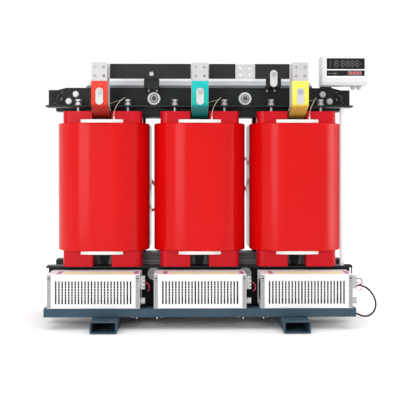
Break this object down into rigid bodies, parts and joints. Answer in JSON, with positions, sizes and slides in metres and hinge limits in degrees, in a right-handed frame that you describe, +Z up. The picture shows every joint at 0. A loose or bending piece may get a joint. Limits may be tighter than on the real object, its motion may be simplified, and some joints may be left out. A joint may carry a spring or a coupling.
{
  "type": "dry type transformer",
  "caption": "Cast-resin dry type transformer with clamped core, red coils, coloured low-voltage bars, cooling fans under the coils and a temperature controller.",
  "frame": {"origin": "on the floor, at the centre of the four anchor holes in the foot beams, under the middle leg", "axes": "+X along the row of coils, +Y towards the high-voltage side, +Z up"},
  "size_m": [1.5378, 0.838, 1.263],
  "materials": {
    "core_steel": "electrical steel laminations, satin",
    "clamp_paint": "dark grey powder coat, satin",
    "base_paint": "blue-grey powder coat, satin",
    "fixings": "zinc plated",
    "coil_resin": "red cast epoxy resin, semi-gloss",
    "lv_winding": "foil winding in varnished resin",
    "block_resin": "red moulded resin, semi-gloss",
    "barrier_white": "white insulating board",
    "board": "pressboard",
    "bar_metal": "bare bar, tinned",
    "sleeve_red": "red shrink sleeve",
    "sleeve_green": "green shrink sleeve",
    "sleeve_yellow": "yellow shrink sleeve",
    "sleeve_black": "black shrink sleeve",
    "marker_metal": "satin, no lettering",
    "brass": "bright",
    "rod_cover": "red insulated rod",
    "fan_sheet": "white powder coat",
    "fan_blades": "mill finish",
    "motor_metal": "cast, satin",
    "terminal_plastic": "grey moulded",
    "controller_paint": "light grey powder coat",
    "bezel_white": "white bezel, dark windows",
    "key_red": "red keys",
    "gland_grey": "grey nylon",
    "conduit_white": "white conduit",
    "cable_black": "black sheath",
    "lead_cream": "cream sensor lead"
  },
  "bodies": {
    "transformer": {"core_legs": "core_steel", "core_upper_yoke": "core_steel", "clamp_insulation": "board", "upper_clamp_front": "clamp_paint", "upper_clamp_rear": "clamp_paint", "lower_clamp_front": "clamp_paint", "lower_clamp_rear": "clamp_paint", "leg_tie_plates": "clamp_paint", "foot_left": "base_paint", "foot_right": "base_paint", "fan_rail_front": "base_paint", "fan_rail_rear": "base_paint", "frame_bolts": "fixings", "coil_press_bolts": "fixings", "busbar_bolts": "fixings", "upper_coil_blocks": "block_resin", "lower_coil_blocks": "block_resin", "barrier_plates": "barrier_white", "lv_bars": "bar_metal", "neutral_bar": "bar_metal", "neutral_risers": "bar_metal", "neutral_sleeve": "sleeve_black", "neutral_brackets": "clamp_paint", "marker_plates": "marker_metal", "hv_terminals": "brass", "hv_delta_rods": "rod_cover", "fan_motors": "motor_metal", "fan_terminals": "terminal_plastic", "controller_case": "controller_paint", "controller_bezel": "bezel_white", "controller_bracket": "clamp_paint", "controller_glands": "gland_grey", "sensor_conduit": "conduit_white", "fan_cable": "cable_black", "sensor_leads": "lead_cream", "hv_coil_a": "coil_resin", "lv_coil_a": "lv_winding", "hv_coil_b": "coil_resin", "lv_coil_b": "lv_winding", "hv_coil_c": "coil_resin", "lv_coil_c": "lv_winding", "lv_sleeve_a": "sleeve_red", "lv_sleeve_b": "sleeve_green", "lv_sleeve_c": "sleeve_yellow", "fan_case_1": "fan_sheet", "fan_case_2": "fan_sheet", "fan_case_3": "fan_sheet", "fan_case_4": "fan_sheet", "fan_case_5": "fan_sheet", "fan_case_6": "fan_sheet"},
    "impeller_1": {"fan_impeller_1": "fan_blades"},
    "impeller_2": {"fan_impeller_2": "fan_blades"},
    "impeller_3": {"fan_impeller_3": "fan_blades"},
    "impeller_4": {"fan_impeller_4": "fan_blades"},
    "impeller_5": {"fan_impeller_5": "fan_blades"},
    "impeller_6": {"fan_impeller_6": "fan_blades"},
    "key_1": {"controller_key_1": "key_red"},
    "key_2": {"controller_key_2": "key_red"},
    "key_3": {"controller_key_3": "key_red"},
    "key_4": {"controller_key_4": "key_red"}
  },
  "joints": [
    {"name": "fan_1_spin", "type": "hinge", "parent": "transformer", "child": "impeller_1", "pos_m": [-0.485, -0.25, 0.1705], "axis": [1, 0, 0], "continuous": true},
    {"name": "fan_2_spin", "type": "hinge", "parent": "transformer", "child": "impeller_2", "pos_m": [0, -0.25, 0.1705], "axis": [1, 0, 0], "continuous": true},
    {"name": "fan_3_spin", "type": "hinge", "parent": "transformer", "child": "impeller_3", "pos_m": [0.485, -0.25, 0.1705], "axis": [1, 0, 0], "continuous": true},
    {"name": "fan_4_spin", "type": "hinge", "parent": "transformer", "child": "impeller_4", "pos_m": [-0.485, 0.25, 0.1705], "axis": [1, 0, 0], "continuous": true},
    {"name": "fan_5_spin", "type": "hinge", "parent": "transformer", "child": "impeller_5", "pos_m": [0, 0.25, 0.1705], "axis": [1, 0, 0], "continuous": true},
    {"name": "fan_6_spin", "type": "hinge", "parent": "transformer", "child": "impeller_6", "pos_m": [0.485, 0.25, 0.1705], "axis": [1, 0, 0], "continuous": true},
    {"name": "key_1_press", "type": "slide", "parent": "transformer", "child": "key_1", "axis": [0, 1, 0], "range_m": [0, 0.001], "stiffness_N_per_m": 1000},
    {"name": "key_2_press", "type": "slide", "parent": "transformer", "child": "key_2", "axis": [0, 1, 0], "range_m": [0, 0.001], "stiffness_N_per_m": 1000},
    {"name": "key_3_press", "type": "slide", "parent": "transformer", "child": "key_3", "axis": [0, 1, 0], "range_m": [0, 0.001], "stiffness_N_per_m": 1000},
    {"name": "key_4_press", "type": "slide", "parent": "transformer", "child": "key_4", "axis": [0, 1, 0], "range_m": [0, 0.001], "stiffness_N_per_m": 1000}
  ]
}
